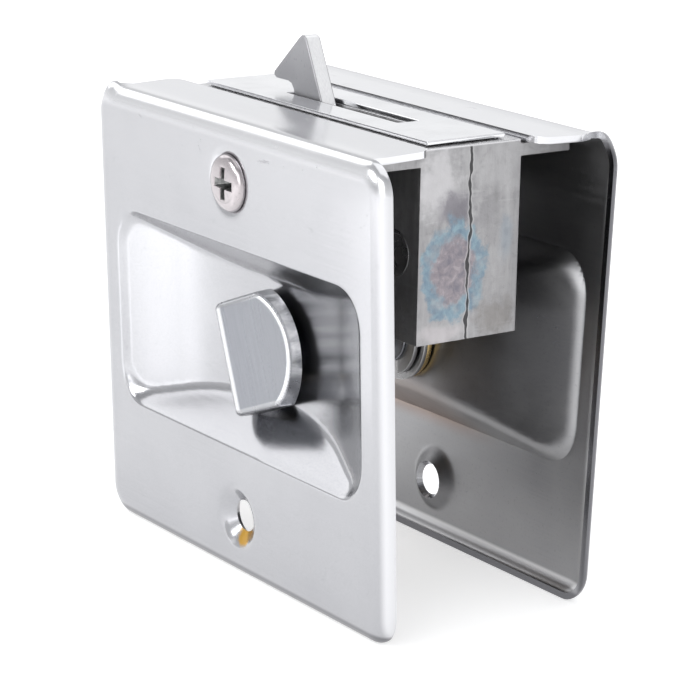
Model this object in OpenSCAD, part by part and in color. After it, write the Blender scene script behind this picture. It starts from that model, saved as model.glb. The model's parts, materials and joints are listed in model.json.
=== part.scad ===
// Privacy lock for a sliding or pocket door.
// Two dished cover plates hang from a T-section two-piece casting; a thumb
// turn on the front plate swings a hook bolt out through the face plate.
// Frame: X along the face plate, Y across the door's thickness (thumb turn
// side at -Y), Z out of the door's edge.  The origin is under the middle of
// the part, level with the plates' lower edges.  Millimetres.

/* [Cover plates] */
// Width of each cover plate along the face plate
plate_w = 70; // [68:0.5:74]
// Height of each cover plate
plate_h = 63.5; // [63:0.1:64]
// Gap between the two plates' lips at their top edges
door_gap = 35.2; // [35:0.1:36]
// Toe-in of each plate, degrees: the lower edges spring towards the door
toe = 2.2; // [1.8:0.1:2.4]
// Sheet thickness
sheet_t = 0.9; // [0.8:0.05:1.0]
// Depth of the plate's edge return, face to lip
lip_d = 1.8; // [1.6:0.1:2.2]
// Corner radius of the plate
corner_r = 4.2; // [3.4:0.2:5]
// Gap from the middle plane to the tab's inner edge
tab_in = 9.6; // [9:0.1:11]

/* [Dish] */
// Half the width of the finger dish
dish_hw = 29.6; // [28.6:0.1:30]
// Half the length of the dish's flat floor
floor_hl = 13; // [12:0.1:14]
// Depth of the square step at the dish's two ends
end_d = 0.6; // [0.4:0.1:0.8]
// Half the height of the finger dish
dish_hh = 14.4; // [13.4:0.1:15]
// Height of the dish's centre
dish_z = 32.4; // [32:0.1:32.8]
// Depth of the dish
dish_d = 6.6; // [6.5:0.1:7]
// Slope of the dish's top and bottom walls, degrees from square
dish_draft = 30; // [24:1:32]

/* [Screws and holes] */
// Distance of each plate hole above or below the plate's middle
hole_dz = 23.4; // [23:0.1:24]
// Radius of the plate holes
hole_r = 2.2; // [2.15:0.05:2.3]
// Rim radius of the pressed dimple around each hole
dimple_r = 4.3; // [4.2:0.1:4.6]
// Depth of the dimple
dimple_d = 1.5; // [1.3:0.1:1.6]
// Height of the screw heads' crown above the plate
crown = 1.05; // [0.9:0.05:1.2]

/* [Casting] */
// Half the length of the casting
case_hl = 27.7; // [27:0.1:28.5]
// Half the thickness of the casting's block
case_ht = 8; // [7.6:0.1:8]
// Height of the block's lower end
case_z = 37.6; // [37.5:0.1:38]
// Half the width of the casting's flange
flange_hw = 16; // [15:0.1:16.4]
// Thickness of the flange
flange_t = 1.75; // [1.5:0.05:2.2]

/* [Face plate] */
// Half the length of the face plate
face_hl = 26.5; // [25:0.5:27]
// Half the width of the face plate
face_hw = 6.2; // [5.6:0.1:6.4]
// Thickness of the face plate
face_t = 0.7; // [0.6:0.1:0.8]

/* [Mechanism] */
// Swing of the thumb turn and of the hook, degrees
throw_deg = 105; // [102:1:107]
// Crank radius of the drive hub and of the hook's tail
crank_r = 7; // [6.9:0.1:7.1]
// Hook bolt thickness
hook_t = 2.4; // [2:0.1:2.5]
// Radius of the thumb turn's disc
turn_r = 9.1; // [8.8:0.05:9.2]
// Half length of the thumb turn along its ridge
turn_hl = 7.75; // [7.5:0.05:7.9]
// Depth of the thumb turn's ridge below the plate's face
turn_sink = 0.75; // [0.6:0.05:0.9]
// Angle of the thumb turn's ridge from upright when locked
turn_deg = -22; // [-30:0.1:0]

/* [Hidden] */
$fn = 64;
e = 0.5;
// outer face of the front plate at its top edge
yf = -door_gap/2 - lip_d;
plate_mid = plate_h/2;
z_up = plate_mid + hole_dz;
z_lo = plate_mid - hole_dz;
tab_hl = plate_w/2 - corner_r;
toe_drop = plate_h*(1 - cos(toe));
// slope of the dish's long end walls, from the step down to the floor
end_a = atan2(dish_d - end_d, dish_hw - floor_hl);
// heights of the casting's seats
z_flange = plate_h - sheet_t + 0.05;
z_plat = z_flange + 0.55;
z_face = z_plat + face_t;
// turning axis and hook pivot, X and Z
sx = 0;
sz = 31.2;
px = -4.9;
pz = 54;
phi_sp = atan2(px - sx, pz - sz);
phi0 = phi_sp - 90 - throw_deg/2;
cx = sx + crank_r*sin(phi0);
cz = sz + crank_r*cos(phi0);
qx = px + crank_r*sin(phi0);
qz = pz + crank_r*cos(phi0);
// hook outline measured from its pivot, X and Z
hook_pts = [[-5.5,17.75],[-5.0,18.1],[-4.4,18.15],[-3.8,17.8],[0.2,9.6],
  [3.6,1.7],[3,-2],[-3,-2],[-6,0],[-6.4,9.3],[-6.75,10.4],[-7.3,11.1],
  [-8.1,11.35],[-11.1,11.35],[-11.65,11.65],[-11.7,12.2]];
// slot for the hook in the face plate
slot_x0 = -12.2;
slot_x1 = 13.9;
slot_hw = 1.75;
// layers along Y
link_y0 = hook_t/2 + 0.3;
link_t = 1.6;
head_y = link_y0 + link_t + 0.3;
cav_y0 = -hook_t/2 - 0.4;
cav_y1 = head_y + 0.9;
pin_r = 2;
rivet_r = 1.25;
shank_r = 4;
bush_or = 5.2;
bush_fr = 6.6;
bush_t = 0.9;
// front plate at the turning axis: its face, the dish floor and its back
y_pl = yf + (plate_h - toe_drop - sz)*tan(toe);
y_fl = yf + dish_d*cos(toe) + (plate_h - toe_drop + dish_d*sin(toe) - sz)*tan(toe);
y_bk = y_fl + sheet_t/cos(toe);
// inner faces of the bushes' flanges, clear of the tilted dish
y_in = -(y_bk + 0.27);
leaf_x = 4.9;
leaf_t = 0.5;

// a 2-D outline in X and Z drawn out from y0 to y1
module ext_y(y0, y1) { translate([0,y1,0]) rotate([90,0,0]) linear_extrude(height=y1-y0) children(); }
// a round bar along Y, radius ra at y0 and rb at y1
module cyl_y(ra, rb, y0, y1, x=0, z=0) { translate([x,y1,z]) rotate([90,0,0]) cylinder(h=y1-y0, r1=rb, r2=ra); }
module box(x0,x1,y0,y1,z0,z1) { translate([x0,y0,z0]) cube([x1-x0,y1-y0,z1-z0]); }
// leans a front-side piece inwards about the plate's top edge
module toed() { translate([0,yf,plate_h-toe_drop]) rotate([toe,0,0]) translate([0,-yf,-plate_h]) children(); }
// a rounded slab standing in X and Z
module slab(x, z0, z1, r, y0, y1) {
  box(-x, x, y0, y1, z0+r, z1-r);
  box(-x+r, x-r, y0, y1, z0, z1);
  for (i=[-1,1]) for (z=[z0+r, z1-r]) cyl_y(r, r, y0, y1, i*(x-r), z);
}
// the dish's solid, grown by g on its inner side
module dish(g) {
  y0 = g > 0 ? yf + 0.3 : yf - 1;
  y1 = yf + dish_d + g + 1;
  k = tan(dish_draft);
  h = dish_hh + g/cos(dish_draft);
  xe = dish_hw + g;
  xf = floor_hl + g*tan(end_a/2);
  ye = yf + dish_d + g - (xe - xf)*tan(end_a);
  yd = yf + dish_d + g;
  intersection() {
    linear_extrude(height=plate_h) polygon([[-xe,y0],[xe,y0],[xe,ye],[xf,yd],[-xf,yd],[-xe,ye]]);
    translate([-plate_w/2+2,0,0]) rotate([90,0,90]) linear_extrude(height=plate_w-4)
      polygon([[y0, dish_z-h+(y0-yf)*k],[y1, dish_z-h+(y1-yf)*k],[y1, dish_z+h-(y1-yf)*k],[y0, dish_z+h-(y0-yf)*k]]);
  }
}
module cover_plate() {
  x = plate_w/2;
  difference() {
    toed() difference() {
      union() {
        difference() {
          slab(x, 0, plate_h, corner_r, yf, yf+lip_d);
          slab(x-sheet_t, sheet_t, plate_h-sheet_t, corner_r-sheet_t, yf+sheet_t, yf+lip_d+e);
        }
        dish(sheet_t);
        box(-tab_hl, tab_hl, yf+sheet_t, -tab_in, plate_h-sheet_t, plate_h);
        for (z=[z_lo,z_up]) cyl_y(dimple_r+0.5, hole_r+1, yf+0.4, yf+dimple_d+sheet_t, 0, z);
      }
      dish(0);
      for (z=[z_lo,z_up]) {
        cyl_y(dimple_r, hole_r, yf, yf+dimple_d, 0, z);
        cyl_y(hole_r, hole_r, yf-e, yf+dimple_d+sheet_t+e, 0, z);
      }
    }
    cyl_y(bush_or, bush_or, y_fl-2, y_bk+2, sx, sz);
  }
}
// hollow of the casting for the hook and the link, the slot in its roof and
// the slit that grips the detent leaf
module hollow() {
  box(-14.8, 15.2, cav_y0, cav_y1, 44.5, 61.3);
  box(-12.9, -2.4, cav_y0, cav_y1, case_z-e, 44.6);
  box(slot_x0, slot_x1, -slot_hw, slot_hw, 61, z_plat+e);
  box(leaf_x, leaf_x+leaf_t, -2, 2, case_z-e, 43);
}
module case_solid() {
  box(-case_hl, case_hl, -case_ht, 0, case_z, z_flange);
  box(-case_hl, case_hl, -case_ht+0.1, 0, z_flange-1, z_plat);
  box(-case_hl, case_hl, -flange_hw, 0, z_flange-flange_t, z_flange);
  toed() cyl_y(3.6, 3.6, yf+dimple_d+sheet_t, -case_ht+1, 0, z_up);
}
module boss_bore() { toed() cyl_y(2.05, 2.05, yf, yf+10.4, 0, z_up); }
module rivet_bores() {
  for (i=[-1,1]) {
    cyl_y(1.65, 1.65, -case_ht-e, case_ht+e, i*22.5, 49);
    cyl_y(3.05, 3.05, -case_ht-e, -case_ht+1, i*22.5, 49);
    cyl_y(3.05, 3.05, case_ht-1, case_ht+e, i*22.5, 49);
  }
}
// countersunk oval-head screw with a cross recess, head towards -Y
module screw() {
  r = dimple_r - 0.2;
  sr = (r*r + crown*crown)/(2*crown);
  toed() difference() {
    union() {
      intersection() {
        translate([0, yf-crown+sr, z_up]) sphere(r=sr, $fn=96);
        cyl_y(r, r, yf-crown-e, yf, 0, z_up);
      }
      cyl_y(r, 2, yf, yf+dimple_d-0.1, 0, z_up);
      cyl_y(2, 2, yf+dimple_d-0.1, yf+9.5, 0, z_up);
    }
    translate([0,0,z_up]) rotate([0,28,0]) for (a=[0,90]) rotate([0,a,0]) box(-2.1, 2.1, yf-crown-e, yf+0.5, -0.45, 0.45);
  }
}
module flanged_bush() {
  difference() {
    union() {
      cyl_y(bush_or, bush_or, y_fl+0.2, -y_in+bush_t, sx, sz);
      cyl_y(bush_fr, bush_fr, -y_in, -y_in+bush_t, sx, sz);
    }
    cyl_y(shank_r+0.05, shank_r+0.05, -y_in-3, -y_in+3, sx, sz);
  }
}
module washer(y0, y1, ro) {
  difference() {
    cyl_y(ro, ro, y0, y1, sx, sz);
    cyl_y(shank_r+0.1, shank_r+0.1, y0-e, y1+e, sx, sz);
  }
}
// open retaining ring seated in the shank's groove
module clip(y0, y1) {
  difference() {
    cyl_y(5.9, 5.9, y0, y1, sx, sz);
    cyl_y(3.3, 3.3, y0-e, y1+e, sx, sz);
    box(-1.9, 1.9, y0-e, y1+e, sz-7, sz);
  }
}
// a groove of radius 3.3 round the shank
module groove(y0, y1) {
  difference() {
    cyl_y(5, 5, y0, y1, sx, sz);
    cyl_y(3.3, 3.3, y0-0.1, y1+0.1, sx, sz);
  }
}

module front_plate() { color([0.80,0.80,0.82]) cover_plate(); }
module rear_plate() { color([0.78,0.78,0.80]) mirror([0,1,0]) cover_plate(); }
module front_case() {
  color([0.68,0.67,0.66]) difference() {
    case_solid();
    hollow();
    rivet_bores();
    cyl_y(pin_r, pin_r, -6.5, e, px, pz);
    boss_bore();
  }
}
module rear_case() {
  color([0.66,0.65,0.64]) difference() {
    mirror([0,1,0]) case_solid();
    hollow();
    rivet_bores();
    cyl_y(pin_r, pin_r, -e, 7, px, pz);
    mirror([0,1,0]) boss_bore();
  }
}
module case_rivets() {
  color([0.6,0.6,0.6]) for (i=[-1,1]) {
    cyl_y(1.6, 1.6, -case_ht+0.5, case_ht-0.5, i*22.5, 49);
    cyl_y(3, 3, -case_ht, -case_ht+1, i*22.5, 49);
    cyl_y(3, 3, case_ht-1, case_ht, i*22.5, 49);
  }
}
module face_plate() {
  color([0.86,0.86,0.88]) difference() {
    box(-face_hl, face_hl, -face_hw, face_hw, z_plat, z_face);
    box(slot_x0, slot_x1, -slot_hw, slot_hw, z_plat-e, z_face+e);
  }
}
module hook_bolt() {
  color([0.82,0.82,0.82]) difference() {
    union() {
      ext_y(-hook_t/2, hook_t/2) translate([px,pz]) polygon(hook_pts);
      cyl_y(6, 6, -hook_t/2, hook_t/2, px, pz);
      ext_y(-hook_t/2, hook_t/2) translate([px,pz]) rotate(90-phi0) translate([0,-2.3]) square([crank_r,4.6]);
      cyl_y(2.3, 2.3, -hook_t/2, hook_t/2, qx, qz);
    }
    cyl_y(pin_r+0.05, pin_r+0.05, -3, 3, px, pz);
    cyl_y(rivet_r, rivet_r, -3, 3, qx, qz);
  }
}
module hook_pivot_pin() { color([0.7,0.7,0.7]) cyl_y(pin_r, pin_r, -6.5, 7, px, pz); }
module hook_link_pin() {
  color([0.7,0.7,0.7]) {
    cyl_y(rivet_r, rivet_r, -hook_t/2, head_y, qx, qz);
    cyl_y(1.9, 1.9, head_y, head_y+0.5, qx, qz);
  }
}
module link_bar() {
  l = sqrt((qx-cx)*(qx-cx) + (qz-cz)*(qz-cz));
  a = atan2(qz-cz, qx-cx);
  y1 = link_y0 + link_t;
  color([0.6,0.6,0.58]) difference() {
    union() {
      ext_y(link_y0, y1) translate([cx,cz]) rotate(a) translate([0,-1.9]) square([l,3.8]);
      cyl_y(1.9, 1.9, link_y0, y1, cx, cz);
      cyl_y(1.9, 1.9, link_y0, y1, qx, qz);
    }
    cyl_y(rivet_r+0.05, rivet_r+0.05, 0, y1+e, cx, cz);
    cyl_y(rivet_r+0.12, rivet_r+0.12, 0, y1+e, qx, qz);
  }
}
module crank_pin() {
  color([0.7,0.7,0.7]) {
    cyl_y(rivet_r, rivet_r, -hook_t/2, head_y, cx, cz);
    cyl_y(1.9, 1.9, head_y, head_y+0.5, cx, cz);
  }
}
module drive_hub() {
  color([0.72,0.58,0.32]) difference() {
    union() {
      difference() {
        cyl_y(5.3, 5.3, -hook_t/2, hook_t/2, sx, sz);
        for (a=[90, 90-throw_deg]) translate([sx,0,sz]) rotate([0,a,0]) box(-6, 6, -3, 3, leaf_x-0.3, 8);
      }
      ext_y(-hook_t/2, hook_t/2) translate([sx,sz]) rotate(90-phi0) translate([0,-2.3]) square([crank_r,4.6]);
      cyl_y(2.3, 2.3, -hook_t/2, hook_t/2, cx, cz);
      cyl_y(3.4, 3.4, -hook_t/2-3.4, -hook_t/2, sx, sz);
    }
    cyl_y(pin_r, pin_r, -8, 8, sx, sz);
    cyl_y(rivet_r, rivet_r, -3, 3, cx, cz);
    translate([sx,-3,sz-5]) cylinder(h=10, r=0.75);
  }
}
module hub_roll_pin() { color([0.6,0.6,0.6]) translate([sx,-3,sz-3.3]) cylinder(h=6.6, r=0.75); }
module spindle() {
  color([0.65,0.65,0.66]) difference() {
    cyl_y(pin_r, pin_r, -15, 11.6, sx, sz);
    translate([sx,-3,sz-5]) cylinder(h=10, r=0.75);
  }
}
// a disc cut off square at both ends of its ridge: one long shallow face, one short steep one
module thumb_turn() {
  yt = y_pl + turn_sink;
  yb = y_fl - 1.4;
  dr = tan(3);
  color([0.66,0.68,0.71]) difference() {
    union() {
      intersection() {
        cyl_y(turn_r, turn_r, yt-e, yb, sx, sz);
        translate([sx,0,sz]) rotate([0,turn_deg,0]) translate([0,0,-12]) linear_extrude(height=24)
          polygon([[-3.45,yt],[-2.45,yt],[turn_r,yb-2.05],[turn_r+1,yb-2.05],[turn_r+1,yb+e],[-turn_r-1,yb+e],[-turn_r-1,yb-0.5],[-turn_r+0.4,yb-0.5]]);
        translate([sx,0,sz]) rotate([0,turn_deg+90,0]) translate([0,0,-12]) linear_extrude(height=24)
          polygon([[-turn_hl+e*dr,yt-e],[turn_hl-e*dr,yt-e],[turn_hl+(yb+e-yt)*dr,yb+e],[-turn_hl-(yb+e-yt)*dr,yb+e]]);
      }
      cyl_y(shank_r, shank_r, yb-e, -y_in+2.8, sx, sz);
    }
    groove(-y_in+1.6, -y_in+2.3);
    cyl_y(pin_r, pin_r, -15, 0, sx, sz);
  }
}
module release_button() {
  yb = -y_fl + 0.75;
  color([0.66,0.68,0.71]) difference() {
    union() {
      cyl_y(7, 7, yb, yb+0.9, sx, sz);
      cyl_y(7, 6.3, yb+0.9, yb+1.6, sx, sz);
      cyl_y(shank_r, shank_r, y_in-3.1, yb+e, sx, sz);
    }
    groove(y_in-2.6, y_in-1.9);
    cyl_y(pin_r, pin_r, 0, 11.6, sx, sz);
    translate([sx,0,sz]) rotate([0,turn_deg,0]) box(-0.9, 0.9, yb+0.7, yb+3, -5.2, 5.2);
  }
}
module front_bush() { color([0.78,0.62,0.30]) flanged_bush(); }
module rear_bush() { color([0.78,0.62,0.30]) mirror([0,1,0]) flanged_bush(); }
module front_washer() { color([0.62,0.62,0.62]) washer(-y_in+bush_t, -y_in+bush_t+0.4, 6.2); }
module rear_washer() { color([0.62,0.62,0.62]) washer(y_in-bush_t-0.7, y_in-bush_t, 6.8); }
module front_clip() { color([0.55,0.55,0.56]) clip(-y_in+1.6, -y_in+2.3); }
module rear_clip() { color([0.55,0.55,0.56]) clip(y_in-2.6, y_in-1.9); }
module detent_spring() { color([0.5,0.5,0.52]) box(leaf_x, leaf_x+leaf_t, -2, 2, sz-5, 43); }
module front_plate_screw() { color([0.85,0.85,0.86]) screw(); }
module rear_plate_screw() { color([0.85,0.85,0.86]) mirror([0,1,0]) screw(); }

front_plate();
rear_plate();
front_case();
rear_case();
case_rivets();
face_plate();
hook_bolt();
hook_pivot_pin();
hook_link_pin();
link_bar();
crank_pin();
drive_hub();
hub_roll_pin();
spindle();
thumb_turn();
release_button();
front_bush();
rear_bush();
front_washer();
rear_washer();
front_clip();
rear_clip();
detent_spring();
front_plate_screw();
rear_plate_screw();
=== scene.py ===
import json
import math
import bmesh
import bpy
import numpy as np
from mathutils import Matrix, Vector
from mathutils.geometry import delaunay_2d_cdt


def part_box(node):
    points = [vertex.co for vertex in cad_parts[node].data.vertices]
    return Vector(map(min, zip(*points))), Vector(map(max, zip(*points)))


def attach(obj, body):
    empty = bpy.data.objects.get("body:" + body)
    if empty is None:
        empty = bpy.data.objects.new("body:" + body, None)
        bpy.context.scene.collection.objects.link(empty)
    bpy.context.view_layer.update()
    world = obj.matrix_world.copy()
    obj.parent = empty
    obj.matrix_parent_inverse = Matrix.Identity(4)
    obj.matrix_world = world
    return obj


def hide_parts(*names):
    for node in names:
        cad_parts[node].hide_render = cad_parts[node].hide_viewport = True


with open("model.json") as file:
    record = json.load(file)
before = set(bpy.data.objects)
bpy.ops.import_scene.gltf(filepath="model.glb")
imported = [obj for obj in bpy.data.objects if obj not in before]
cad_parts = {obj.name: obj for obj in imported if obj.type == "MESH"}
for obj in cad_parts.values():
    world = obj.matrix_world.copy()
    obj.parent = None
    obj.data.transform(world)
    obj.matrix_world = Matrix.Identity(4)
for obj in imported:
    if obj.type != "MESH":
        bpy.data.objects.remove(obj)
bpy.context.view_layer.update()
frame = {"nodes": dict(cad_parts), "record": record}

MM = 0.001

# ---------------------------------------------------------------- dimensions
H, HALF_W = 63.5, 35.0            # cover plate
YF, TOE = -19.4, math.radians(2.2)
DROP = H * (1 - math.cos(TOE))
SHEET, LIP, EDGE_R, EDGE_X, CORNER_R = 0.9, 1.8, 1.7, 2.6, 4.2
TAB_END = 11.0                    # tab's inner edge, measured in from the face
DISH_Z, DISH_HH, DISH_D = 32.4, 14.4, 6.6
DISH_HW, END_SLOPE = 31.1, 0.365  # where the end walls would meet the face
HOLE_Z = (31.75 - 23.4, 31.75 + 23.4)
HOLE_R, DIMPLE_R, DIMPLE_D = 2.2, 4.3, 1.5
AX_Z = 31.2                       # turning axis
CT, ST = math.cos(TOE), math.sin(TOE)
Y_PL = YF + (H - DROP - AX_Z) * math.tan(TOE)
Y_FL = YF + DISH_D * CT + (H - DROP + DISH_D * ST - AX_Z) * math.tan(TOE)
TURN_R, TURN_HL, TURN_DEG = 9.1, 7.75, -22.0
TURN_TOP, TURN_BASE = Y_PL + 0.75, Y_FL - 1.4
RIGHT_SLOPE = (TURN_BASE - 2.05 - TURN_TOP) / (TURN_R + 2.45)
LEFT_SLOPE = (TURN_BASE - 0.5 - TURN_TOP) / (TURN_R - 0.4 - 3.45)
Z_PLAT = H - SHEET + 0.6          # casting's seat under the face plate


# ------------------------------------------------------------- mesh helpers
def new_obj(name, mesh):
    o = bpy.data.objects.new(name, mesh)
    bpy.context.scene.collection.objects.link(o)
    return o


def mesh_from(name, verts, faces):
    me = bpy.data.meshes.new(name)
    me.from_pydata([tuple(v) for v in verts], [], [tuple(f) for f in faces])
    me.update()
    return me


def apply_mods(o):
    bpy.context.view_layer.update()
    dg = bpy.context.evaluated_depsgraph_get()
    me = bpy.data.meshes.new_from_object(o.evaluated_get(dg))
    o.modifiers.clear()
    old = o.data
    o.data = me
    bpy.data.meshes.remove(old)
    return o


def boolean(a, b, op):
    m = a.modifiers.new("b", "BOOLEAN")
    m.operation, m.solver, m.object = op, "EXACT", b
    apply_mods(a)
    bpy.data.objects.remove(b)
    return a


def shade(o, angle=35):
    me = o.data
    me.polygons.foreach_set("use_smooth", [True] * len(me.polygons))
    me.set_sharp_from_angle(angle=math.radians(angle))
    me.update()
    return o


def tidy(o, flat_deg=0.6):
    bm = bmesh.new()
    bm.from_mesh(o.data)
    bmesh.ops.remove_doubles(bm, verts=bm.verts, dist=2e-6)
    bmesh.ops.dissolve_limit(bm, angle_limit=math.radians(flat_deg), use_dissolve_boundaries=False,
                             verts=bm.verts, edges=bm.edges, delimit={"NORMAL"})
    bm.normal_update()
    bm.to_mesh(o.data)
    bm.free()
    return o


def bevel(o, width, seg=2, angle=30):
    m = o.modifiers.new("bev", "BEVEL")
    m.width, m.segments = width * MM, seg
    m.limit_method, m.angle_limit = "ANGLE", math.radians(angle)
    m.miter_outer, m.use_clamp_overlap = "MITER_ARC", True
    m.profile = 0.5
    apply_mods(o)
    return o


def body_of(node):
    return next(b for b, ns in frame["record"]["behaviour"]["bodies"].items() if node in ns)


def stand(o, node, material):
    o.data.materials.clear()
    o.data.materials.append(material)
    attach(o, body_of(node))
    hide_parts(node)
    return o


def flat_true(o):
    """Big flat faces keep their own normal; the narrow bevels take the turn."""
    m = o.modifiers.new("wn", "WEIGHTED_NORMAL")
    m.mode, m.weight, m.keep_sharp = "FACE_AREA", 100, True
    return apply_mods(o)


def from_cad(node, width, seg=2, angle=30, name=None):
    o = new_obj(name or node + "_v", frame["nodes"][node].data.copy())
    tidy(o)
    bevel(o, width, seg, angle)
    return flat_true(shade(o, 40))


def lathe_y(name, profile, n, x0=0.0, z0=AX_Z):
    """A closed solid turned about a line along Y; profile is (radius, y) in mm from front to back."""
    verts, faces, rows = [], [], []
    for r, y in profile:
        if r < 1e-6:
            rows.append([len(verts)])
            verts.append((x0 * MM, y * MM, z0 * MM))
        else:
            rows.append(list(range(len(verts), len(verts) + n)))
            for i in range(n):
                a = 2 * math.pi * i / n
                verts.append(((x0 + r * math.sin(a)) * MM, y * MM, (z0 + r * math.cos(a)) * MM))
    for a, b in zip(rows, rows[1:]):
        for i in range(n):
            j = (i + 1) % n
            if len(a) == 1:
                faces.append((a[0], b[i], b[j]))
            elif len(b) == 1:
                faces.append((a[i], b[0], a[j]))
            else:
                faces.append((a[i], b[i], b[j], a[j]))
    return new_obj(name, mesh_from(name, verts, faces))


def prism(name, pts, axis_pts):
    """A convex polygon (list of 3-D points, mm) drawn along the vector axis_pts (mm)."""
    n = len(pts)
    v = [Vector(p) * MM for p in pts] + [(Vector(p) + Vector(axis_pts)) * MM for p in pts]
    f = [tuple(range(n))[::-1], tuple(range(n, 2 * n))]
    f += [(i, (i + 1) % n, n + (i + 1) % n, n + i) for i in range(n)]
    o = new_obj(name, mesh_from(name, v, f))
    bm = bmesh.new()
    bm.from_mesh(o.data)
    bmesh.ops.recalc_face_normals(bm, faces=bm.faces)
    bm.to_mesh(o.data)
    bm.free()
    return o


# ---------------------------------------------------------------- materials
class Nodes:
    def __init__(self, name):
        self.m = bpy.data.materials.new(name)
        self.m.use_nodes = True
        self.t = self.m.node_tree
        self.t.nodes.clear()
        self.out = self.t.nodes.new("ShaderNodeOutputMaterial")
        self.b = self.t.nodes.new("ShaderNodeBsdfPrincipled")
        self.t.links.new(self.b.outputs[0], self.out.inputs[0])
        tc = self.t.nodes.new("ShaderNodeTexCoord")
        mp = self.t.nodes.new("ShaderNodeMapping")
        mp.inputs["Scale"].default_value = (1000, 1000, 1000)
        self.t.links.new(tc.outputs["Object"], mp.inputs["Vector"])
        self.mm = mp.outputs[0]           # position in millimetres

    def put(self, socket, v):
        if hasattr(v, "is_linked") or isinstance(v, bpy.types.NodeSocket):
            self.t.links.new(v, socket)
        else:
            socket.default_value = v

    def math(self, op, a, b=0.0, c=None, clamp=False):
        n = self.t.nodes.new("ShaderNodeMath")
        n.operation, n.use_clamp = op, clamp
        self.put(n.inputs[0], a)
        self.put(n.inputs[1], b)
        if c is not None:
            self.put(n.inputs[2], c)
        return n.outputs[0]

    def map(self, v, scale=(1, 1, 1), rot=(0, 0, 0), loc=(0, 0, 0)):
        n = self.t.nodes.new("ShaderNodeMapping")
        n.inputs["Scale"].default_value = scale
        n.inputs["Rotation"].default_value = rot
        n.inputs["Location"].default_value = loc
        self.put(n.inputs["Vector"], v)
        return n.outputs[0]

    def noise(self, v, scale, detail=3.0, rough=0.5, distort=0.0):
        n = self.t.nodes.new("ShaderNodeTexNoise")
        n.inputs["Scale"].default_value = scale
        n.inputs["Detail"].default_value = detail
        n.inputs["Roughness"].default_value = rough
        n.inputs["Distortion"].default_value = distort
        self.put(n.inputs["Vector"], v)
        return n.outputs["Fac"]

    def voronoi(self, v, scale, rand=1.0):
        n = self.t.nodes.new("ShaderNodeTexVoronoi")
        n.inputs["Scale"].default_value = scale
        n.inputs["Randomness"].default_value = rand
        self.put(n.inputs["Vector"], v)
        return n.outputs["Distance"]

    def xyz(self, v):
        n = self.t.nodes.new("ShaderNodeSeparateXYZ")
        self.put(n.inputs[0], v)
        return n.outputs

    def vec(self, x, y, z):
        n = self.t.nodes.new("ShaderNodeCombineXYZ")
        for s, v in zip(n.inputs, (x, y, z)):
            self.put(s, v)
        return n.outputs[0]

    def step(self, v, a, b, lo=0.0, hi=1.0):
        n = self.t.nodes.new("ShaderNodeMapRange")
        n.interpolation_type = "SMOOTHSTEP"
        self.put(n.inputs["Value"], v)
        n.inputs["From Min"].default_value = a
        n.inputs["From Max"].default_value = b
        n.inputs["To Min"].default_value = lo
        n.inputs["To Max"].default_value = hi
        return n.outputs["Result"]

    def ramp(self, v, stops):
        n = self.t.nodes.new("ShaderNodeValToRGB")
        r = n.color_ramp
        while len(r.elements) < len(stops):
            r.elements.new(0.5)
        for e, (p, c) in zip(r.elements, stops):
            e.position, e.color = p, (*c, 1)
        self.put(n.inputs[0], v)
        return n.outputs[0]

    def mix(self, f, a, b, blend="MIX"):
        n = self.t.nodes.new("ShaderNodeMix")
        n.data_type, n.blend_type = "RGBA", blend
        self.put(n.inputs[0], f)
        for i, v in ((6, a), (7, b)):
            self.put(n.inputs[i], (*v, 1) if isinstance(v, tuple) and len(v) == 3 else v)
        return n.outputs[2]

    def bump(self, h, strength, dist, normal=None):
        n = self.t.nodes.new("ShaderNodeBump")
        n.inputs["Strength"].default_value = strength
        n.inputs["Distance"].default_value = dist * MM
        self.put(n.inputs["Height"], h)
        if normal is not None:
            self.put(n.inputs["Normal"], normal)
        return n.outputs[0]

    def geo_normal(self):
        return self.t.nodes.new("ShaderNodeNewGeometry").outputs["Normal"]

    def set(self, **kw):
        for k, v in kw.items():
            s = self.b.inputs[k.replace("_", " ")]
            self.put(s, (*v, 1) if isinstance(v, tuple) and len(v) == 3 and s.type == "RGBA" else v)
        return self.m


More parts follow.
